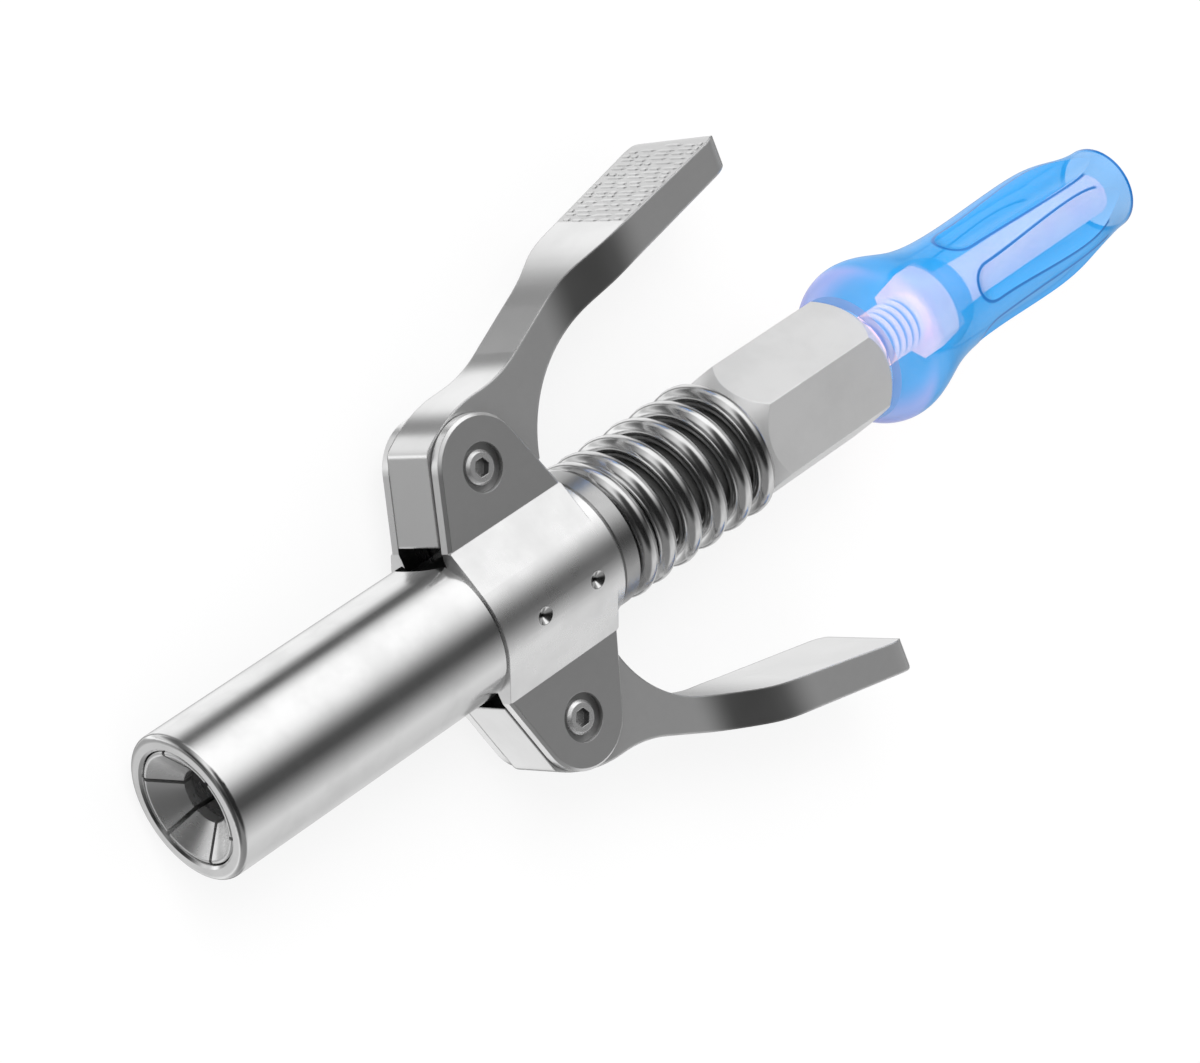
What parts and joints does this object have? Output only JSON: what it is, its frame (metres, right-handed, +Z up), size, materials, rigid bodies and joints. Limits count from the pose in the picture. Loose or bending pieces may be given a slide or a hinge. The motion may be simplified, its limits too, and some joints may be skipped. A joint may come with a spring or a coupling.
{
  "type": "grease coupler",
  "caption": "Locking grease coupler: squeezing two thumb levers pulls back a sprung sleeve that frees split jaws, with a hexagon and a booted hose stem behind.",
  "frame": {"origin": "middle of the jaws' gripping lip on the coupler's axis, where a grease fitting's neck sits", "axes": "+X along the axis from the nose to the hose end, +Y across the two levers towards the upper lever, +Z up, square to the plane of the levers, as the coupler lies on a surface"},
  "size_m": [0.1622, 0.071, 0.0212],
  "materials": {
    "polished_shell": "polished nickel chrome plate",
    "lever_steel": "satin plated stamping",
    "pin_steel": "plain bright",
    "turned_steel": "turned",
    "hexagon_steel": "satin plated bar",
    "jaw_steel": "hardened, bright",
    "spring_chrome": "bright plated wire",
    "stem_steel": "satin plated",
    "boot_plastic": "translucent, soft gloss",
    "seal_rubber": "plain"
  },
  "bodies": {
    "body": {"body_tube": "hexagon_steel", "jaw_carrier": "turned_steel", "jaw_ring": "pin_steel", "body_ring": "seal_rubber", "seat_plug": "turned_steel", "hose_stem": "stem_steel", "boot": "boot_plastic", "main_spring": "spring_chrome", "nozzle_spring": "spring_chrome", "check_spring": "spring_chrome"},
    "sleeve": {"nose_barrel": "polished_shell", "ear_collar": "polished_shell", "thrust_ring": "polished_shell", "upper_pin": "pin_steel", "lower_pin": "pin_steel"},
    "upper_lever": {"upper_lever": "lever_steel"},
    "lower_lever": {"lower_lever": "lever_steel"},
    "jaw_1": {"jaw_1": "jaw_steel"},
    "jaw_2": {"jaw_2": "jaw_steel"},
    "jaw_3": {"jaw_3": "jaw_steel"},
    "jaw_4": {"jaw_4": "jaw_steel"},
    "jaw_5": {"jaw_5": "jaw_steel"},
    "jaw_6": {"jaw_6": "jaw_steel"},
    "nozzle": {"nozzle": "turned_steel", "nozzle_seal": "seal_rubber", "nozzle_ring": "seal_rubber"},
    "check_ball": {"check_ball": "spring_chrome"}
  },
  "joints": [
    {"name": "sleeve_slide", "type": "slide", "parent": "body", "child": "sleeve", "axis": [1, 0, 0], "range_m": [0, 0.003], "stiffness_N_per_m": 8000, "springref_m": -0.004, "deforming": ["main_spring"]},
    {"name": "upper_lever_pivot", "type": "hinge", "parent": "sleeve", "child": "upper_lever", "pos_m": [0.0461, 0.016, 0], "axis": [0, 0, 1], "range_deg": [-17, 0]},
    {"name": "lower_lever_pivot", "type": "hinge", "parent": "sleeve", "child": "lower_lever", "pos_m": [0.0461, -0.016, 0], "axis": [0, 0, 1], "range_deg": [0, 17]},
    {"name": "jaw_1_rock", "type": "hinge", "parent": "body", "child": "jaw_1", "pos_m": [0.0218, 0.00364, 0.0021], "axis": [0, 0.5, -0.866], "range_deg": [0, 1.75]},
    {"name": "jaw_2_rock", "type": "hinge", "parent": "body", "child": "jaw_2", "pos_m": [0.0218, 0, 0.0042], "axis": [0, 1, 0], "range_deg": [0, 1.75]},
    {"name": "jaw_3_rock", "type": "hinge", "parent": "body", "child": "jaw_3", "pos_m": [0.0218, -0.00364, 0.0021], "axis": [0, 0.5, 0.866], "range_deg": [0, 1.75]},
    {"name": "jaw_4_rock", "type": "hinge", "parent": "body", "child": "jaw_4", "pos_m": [0.0218, -0.00364, -0.0021], "axis": [0, -0.5, 0.866], "range_deg": [0, 1.75]},
    {"name": "jaw_5_rock", "type": "hinge", "parent": "body", "child": "jaw_5", "pos_m": [0.0218, 0, -0.0042], "axis": [0, -1, 0], "range_deg": [0, 1.75]},
    {"name": "jaw_6_rock", "type": "hinge", "parent": "body", "child": "jaw_6", "pos_m": [0.0218, 0.00364, -0.0021], "axis": [0, -0.5, -0.866], "range_deg": [0, 1.75]},
    {"name": "nozzle_slide", "type": "slide", "parent": "body", "child": "nozzle", "axis": [1, 0, 0], "range_m": [0, 0.002], "stiffness_N_per_m": 400, "springref_m": -0.003, "deforming": ["nozzle_spring"]},
    {"name": "check_ball_lift", "type": "slide", "parent": "body", "child": "check_ball", "axis": [-1, 0, 0], "range_m": [0, 0.0008], "stiffness_N_per_m": 20, "springref_m": -0.002, "deforming": ["check_spring"]}
  ],
  "couplings": [
    {"joint": "upper_lever_pivot", "follows": "sleeve_slide", "rad_per_m": -97.087},
    {"joint": "lower_lever_pivot", "follows": "sleeve_slide", "rad_per_m": 97.087},
    {"joint": "jaw_1_rock", "follows": "sleeve_slide", "rad_per_m": 9.89},
    {"joint": "jaw_2_rock", "follows": "sleeve_slide", "rad_per_m": 9.89},
    {"joint": "jaw_3_rock", "follows": "sleeve_slide", "rad_per_m": 9.89},
    {"joint": "jaw_4_rock", "follows": "sleeve_slide", "rad_per_m": 9.89},
    {"joint": "jaw_5_rock", "follows": "sleeve_slide", "rad_per_m": 9.89},
    {"joint": "jaw_6_rock", "follows": "sleeve_slide", "rad_per_m": 9.89}
  ]
}
